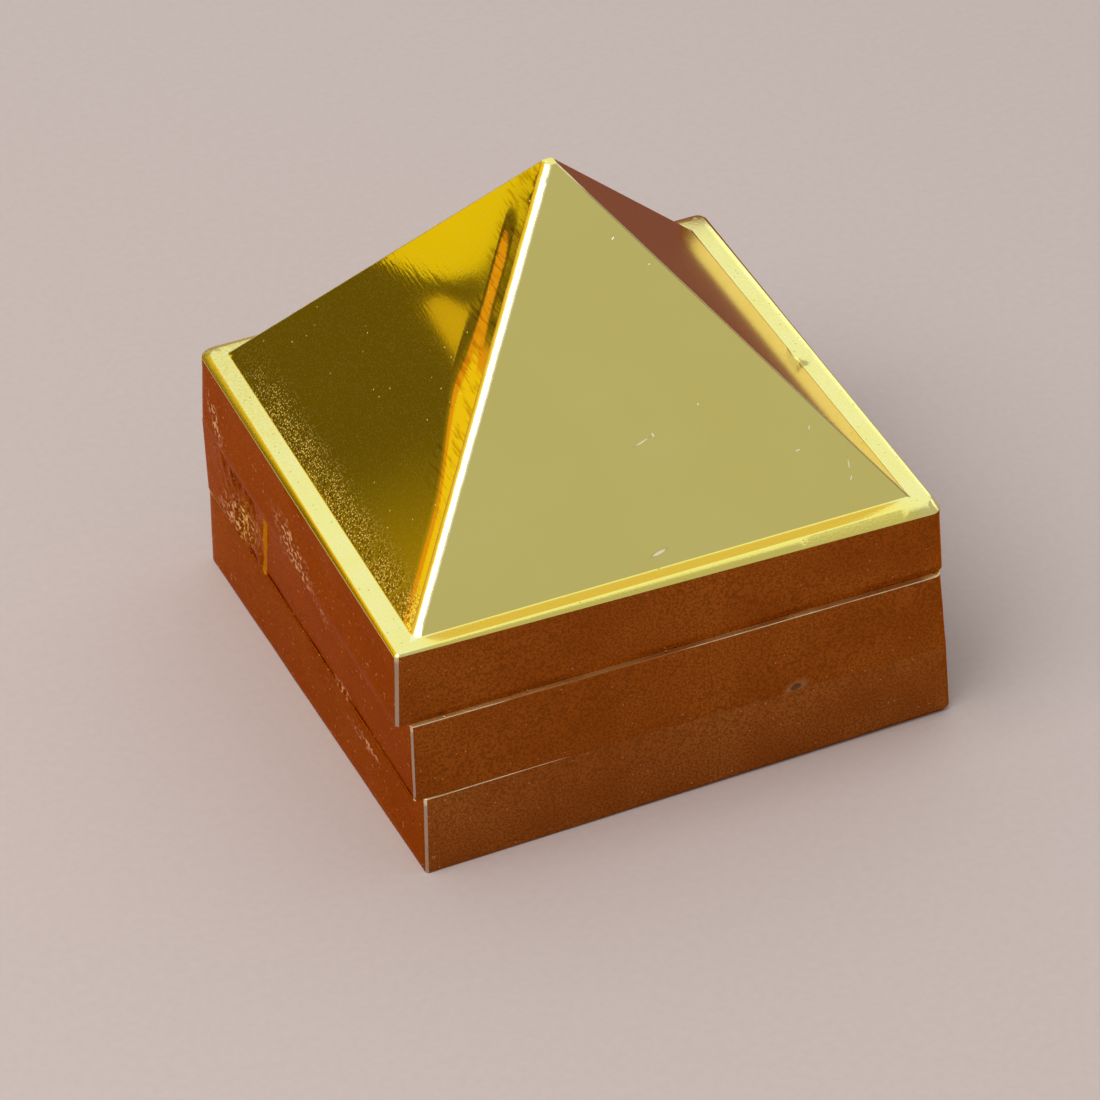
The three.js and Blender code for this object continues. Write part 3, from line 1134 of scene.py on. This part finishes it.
# %% [markdown]
# The base is made by the same functions. It has no hollow, and its foot is worn most at the front
# right corner, so it gets a slope of uneven width before it's rounded.

# %% Base tray
BASE_ERRORS = (
    ((0, 0), (0, 0), (0, 0), (-0.80, 0)),
    ((0.14, 0), (-0.16, 0), (0, 0), (-0.72, 0)),
)
BASE_CORNERS = (0.3, 0.6, 0.6, 0.9)
FOOT_SLOPES = ((0.08, 0.08), (0.30, 0.30), (0.2, 0.2), (0.1, 0.1))
FOOT_DROPS = (0.06, 0.40, 0.2, 0.1)
base_mesh = shape_tray(
    BASE_WIDTH, BASE_HEIGHT, BASE_ERRORS, BASE_CORNERS, BASE_SPIGOT, POCKET_FLOORS["base"]
)
foot = end_face(base_mesh, -1)
chamfer_end(base_mesh, foot, BASE_WIDTH / 2 + TRAY_FLARE, FOOT_SLOPES, FOOT_DROPS)
round_tray(base_mesh, BASE_HEIGHT, BASE_SPIGOT / 2)
sort_tray_faces(base_mesh, BASE_HEIGHT)
cut_squares(base_mesh, CELLS_TO, CELL)
cut_at(base_mesh, Z, evenly(0.7, 5.4, CELL))
push_inwards(base_mesh, base_wear, BASE_HEIGHT + 0.1)
base_materials = (walls["base"], worn_and_glinting_edges["base"], cast_gold)
base = finish_piece("gilt_base_tray", base_mesh, "base", base_materials)
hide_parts("base_tray")
print("The base tray has", len(base.data.polygons), "faces")

# %% [markdown]
# ## The small pyramids
# Each is a small solid casting with a square plinth that drops into its socket. A cone of four
# sides is the shape at once, and its foot is carried down for the plinth. A cone's radius goes to
# its corners, so it's the half width times the root of two. They are simple castings, so each one
# gets its own slight unevenness.


# %% Shape of a small pyramid
def small_pyramid(number):
    half = SMALL_FOOT / 2
    rise = (half - SMALL_TIP) * SMALL_RISE
    root = math.sqrt(2)
    eighth = Matrix.Rotation(math.pi / 4, 3, "Z")
    bm = bmesh.new()
    bmesh.ops.create_cone(
        bm, cap_ends=True, segments=4, radius1=half * root, radius2=SMALL_TIP * root, depth=rise
    )
    bmesh.ops.rotate(bm, cent=(0, 0, 0), matrix=eighth, verts=bm.verts)
    bmesh.ops.translate(bm, vec=(0, 0, rise / 2 + SOCKET_DEPTH), verts=bm.verts)
    bm.normal_update()
    carry(bm, end_face(bm, -1), half, 0)
    above_foot = [edge for edge in bm.edges if max(vert.co.z for vert in edge.verts) > 0]
    round_edges(bm, above_foot, 0.11, 2)
    cut_squares(bm, 4.6, 1.15)
    push_inwards(bm, lambda point, normal: 0.04 * slow_wave(point, 2.5, 11.0 * number))
    return bm


# %% [markdown]
# The small pyramids are satin, a little brighter than the inside of the trays, with fine pits.


# %% Finish of the small pyramids
def small_finish(body):
    shader = Shader(body + "_small_gold")
    place = layer_frame(shader, body)
    tone = cloud(shader, place, 3.0, 3.0)
    grain = cloud(shader, place, 0.25, 3.0)
    pits = specks(shader, place, 0.6, 0.10, 0.35)
    color = shader.blend(tone.between(0.3, 0.7), (0.88, 0.70, 0.24), (0.95, 0.82, 0.32))
    shader.set(
        Base_Color=shader.blend(pits * 0.6, color, (0.35, 0.24, 0.08)),
        Metallic=1.0,
        Roughness=tone * 0.14 + 0.18,
        Normal=relief(shader, grain * 0.7 - pits, 0.012),
    )
    return shader.material


for body, floor_z in POCKET_FLOORS.items():
    gold = small_finish(body)
    for number in range(9):
        column, row = number % 3 - 1, 1 - number // 3
        shift = (column * SMALL_PITCH, row * SMALL_PITCH, floor_z - SOCKET_DEPTH)
        name = f"{body}_pyramid_{number + 1}"
        piece = finish_piece("gilt_" + name, small_pyramid(number + 1), body, (gold,), shift)
        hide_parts(name)
print("Set 18 small pyramids of", len(piece.data.polygons), "faces each")

# %% [markdown]
# ## Studio
# Polished gold has little colour of its own: it shows what stands around it. A pale floor, an
# even pale surround and large soft lamps give the khaki front face and the pale rim.

# %% Floor
FLOOR_HALF = 1.5
floor_mesh = bmesh.new()
bmesh.ops.create_grid(floor_mesh, x_segments=1, y_segments=1, size=FLOOR_HALF)
floor_data = bpy.data.meshes.new("floor")
floor_mesh.to_mesh(floor_data)
floor_mesh.free()
floor = bpy.data.objects.new("floor", floor_data)
bpy.context.scene.collection.objects.link(floor)
matt = Shader("pale_floor")
floor_tone = cloud(matt, matt.node("ShaderNodeTexCoord", output="Object"), 0.0006, 4.0)
matt.set(Base_Color=matt.blend(floor_tone, (0.45, 0.37, 0.345), (0.50, 0.42, 0.39)), Roughness=0.9)
floor_data.materials.append(matt.material)
print("The floor is", 2 * FLOOR_HALF, "m wide")

# %% [markdown]
# A soft lamp is a square area light that looks at the middle of the object. Its power follows its
# area, so the radiance given for it is how bright it looks in a reflection, at any size.

# %% Lamps
LOOKED_AT = Vector((0, 0, 0.018))


def soft_lamp(name, direction_to, distance, size, radiance, tint=(1, 1, 1)):
    lamp = bpy.data.lights.new(name, "AREA")
    lamp.color = tint
    lamp.size = size
    lamp.energy = radiance * math.pi * size * size
    holder = bpy.data.objects.new(name, lamp)
    holder.location = Vector(direction_to).normalized() * distance + LOOKED_AT
    holder.rotation_euler = Vector(direction_to).to_track_quat("Z", "Y").to_euler()
    bpy.context.scene.collection.objects.link(holder)


soft_lamp("key", (-0.50, -0.16, 0.85), 0.5, 0.40, 4.0)
soft_lamp("overhead", (0.29, 0.38, 0.88), 0.6, 0.76, 0.5, (0.86, 1.0, 1.12))
soft_lamp("right", (0.90, 0.12, 0.42), 0.6, 0.22, 0.7)
soft_lamp("back", (0.55, 0.74, 0.39), 0.6, 0.17, 0.75, (0.85, 1.0, 1.0))
print("Placed", len(bpy.data.lights), "lamps")

# %% [markdown]
# Cards that only reflections can see stand upright behind on the left, where the left face looks:
# a dark one that turns it olive, a gold and an amber one in front of that, which make the bright
# shapes below the tip, and an orange and a yellow one above, for the part that rolls over to the
# ridge. A low one straight behind is for the slope of the rim's back edge, and a small brown one
# stands low behind on the right, where the right face looks.

# %% Cards
BEHIND_LEFT = Vector((-0.663, 0.749, 0))
BEHIND_RIGHT = Vector((0.590, 0.808, 0))


def card(name, behind, distance, outline, glow, left_glow=None):
    """An upright card behind the object, from its outline in millimetres across and up."""
    bm = bmesh.new()
    to_right = behind.cross(Vector((0, 0, 1)))
    corners = [
        behind * distance + to_right * across + Vector((0, 0, up)) for across, up in outline
    ]
    bm.faces.new([bm.verts.new(corner * 0.001) for corner in corners])
    data = bpy.data.meshes.new(name)
    bm.to_mesh(data)
    bm.free()
    shader = Shader(name)
    color = (*glow, 1)
    if left_glow:
        place = shader.node("ShaderNodeTexCoord", output="Object")
        settings, inputs = {"operation": "DOT_PRODUCT"}, {0: place, 1: tuple(to_right)}
        across = shader.node("ShaderNodeVectorMath", settings, inputs, output=1)
        color = shader.blend(across.between(-0.005, -0.022), glow, left_glow)
    shader.set(Base_Color=(0, 0, 0, 1), Roughness=1.0, Specular_IOR_Level=0.0)
    shader.set(Emission_Color=color, Emission_Strength=1.0)
    data.materials.append(shader.material)
    piece = bpy.data.objects.new(name, data)
    piece.visible_camera = False
    piece.visible_diffuse = False
    piece.visible_shadow = False
    piece.visible_transmission = False
    bpy.context.scene.collection.objects.link(piece)
    return piece


# %% [markdown]
# The outlines run round each card, and follow the shapes of the reflections on the real faces:
# the gold card's curved left edge ends the bright part of the left face, and the amber one is
# the small warm lens below it. The dark card glows a little more towards its left end.

# %% Outlines of the cards
YELLOW = ((-150, 40), (80, 40), (80, 200), (-150, 200))
ORANGE = ((-90, 20), (10, 50), (10, 96), (-20, 84), (-31, 80), (-46, 79), (-90, 70))
DARK = ((-80, 0), (75, 0), (75, 72), (-8, 72), (-14, 69), (-20, 64), (-30, 56), (-80, 22))
AMBER = [(4.4, 50.2), (4.2, 52), (2, 53.6), (0.8, 54.6)]
AMBER += [(-0.6, 54.2), (-3, 51.9), (-2.8, 50.7), (2.8, 50)]
GOLD = [(9.4, 48), (7.9, 49.4), (6.5, 50.8), (5, 53.3), (4.8, 55.5), (5.6, 57.5)]
GOLD += [(7, 60.3), (8, 62.5), (9, 66), (11, 72), (60, 72), (60, 46)]
BACK = ((120, 0), (260, 0), (260, 62), (120, 62))
BROWN = ((-5, 12), (3, 11.5), (20, 1.5), (27, 1.5), (27, 3), (2, 24.8), (-5, 24.8))

cards = (
    card("yellow_card", BEHIND_LEFT, 144, YELLOW, (0.88, 0.62, 0.012)),
    card("orange_card", BEHIND_LEFT, 142, ORANGE, (0.76, 0.32, 0.012)),
    card("dark_card", BEHIND_LEFT, 140, DARK, (0.130, 0.088, 0.004), (0.36, 0.24, 0.006)),
    card("amber_card", BEHIND_LEFT, 139, AMBER, (0.64, 0.42, 0.012)),
    card("gold_card", BEHIND_LEFT, 138, GOLD, (0.80, 0.595, 0.008)),
    card("back_card", BEHIND_LEFT, 120, BACK, (0.50, 0.36, 0.05)),
    card("brown_card", BEHIND_RIGHT, 35, BROWN, (0.255, 0.105, 0.085)),
)
print("Placed", len(cards), "cards")

# %% [markdown]
# The world is an even, faintly warm surround. It fills the shadows and is what the sides show
# when no lamp or card stands there.

# %% Surround
world = bpy.data.worlds.new("studio")
world.use_nodes = True
bpy.context.scene.world = world
surround = world.node_tree.nodes["Background"]
surround.inputs["Color"].default_value = (1.0, 0.98, 0.95, 1)
surround.inputs["Strength"].default_value = 0.5
print("The surround glows at", surround.inputs["Strength"].default_value)

# %% [markdown]
# ## Camera
# The camera stands where the photograph was taken from. Its direction, distance and lens were
# found from the corners and the seams, in the lid's own frame, so the lid's place is applied. The
# lens is given by its length in pixels of the photograph, which is 1100 of them wide.

# %% Camera
AZIMUTH = math.radians(-21.30)
ELEVATION = math.radians(37.47)
ROLL = math.radians(-2.55)
DISTANCE = 320.5
AIM = Vector((-3.01, -4.86, 11.4))
SENSOR_WIDTH = 36
LENS_PIXELS, PHOTO_PIXELS = 4827, 1100

lid_place, lid_turn = PLACES["lid"]
azimuth = AZIMUTH + lid_turn
level_part = math.cos(ELEVATION)
away = Vector(
    (math.sin(azimuth) * level_part, -math.cos(azimuth) * level_part, math.sin(ELEVATION))
)
level = (-away).cross(Vector((0, 0, 1))).normalized()
upward = level.cross(-away)
right = level * math.cos(ROLL) + upward * math.sin(ROLL)
up = upward * math.cos(ROLL) - level * math.sin(ROLL)
target = Matrix.Rotation(lid_turn, 3, "Z") @ AIM + Vector((lid_place.x, lid_place.y, 0))
camera_data = bpy.data.cameras.new("camera")
camera_data.sensor_width = SENSOR_WIDTH
camera_data.lens = SENSOR_WIDTH * LENS_PIXELS / PHOTO_PIXELS
camera = bpy.data.objects.new("camera", camera_data)
facing = Matrix((right, up, away)).transposed().to_4x4()
camera.matrix_world = Matrix.Translation((target + away * DISTANCE) * 0.001) @ facing
bpy.context.scene.collection.objects.link(camera)
bpy.context.scene.camera = camera
print("Camera", round(DISTANCE), "mm away with a lens of", round(camera_data.lens), "mm")

# %% [markdown]

# %% View and finish
bpy.context.scene.view_settings.view_transform = "Standard"
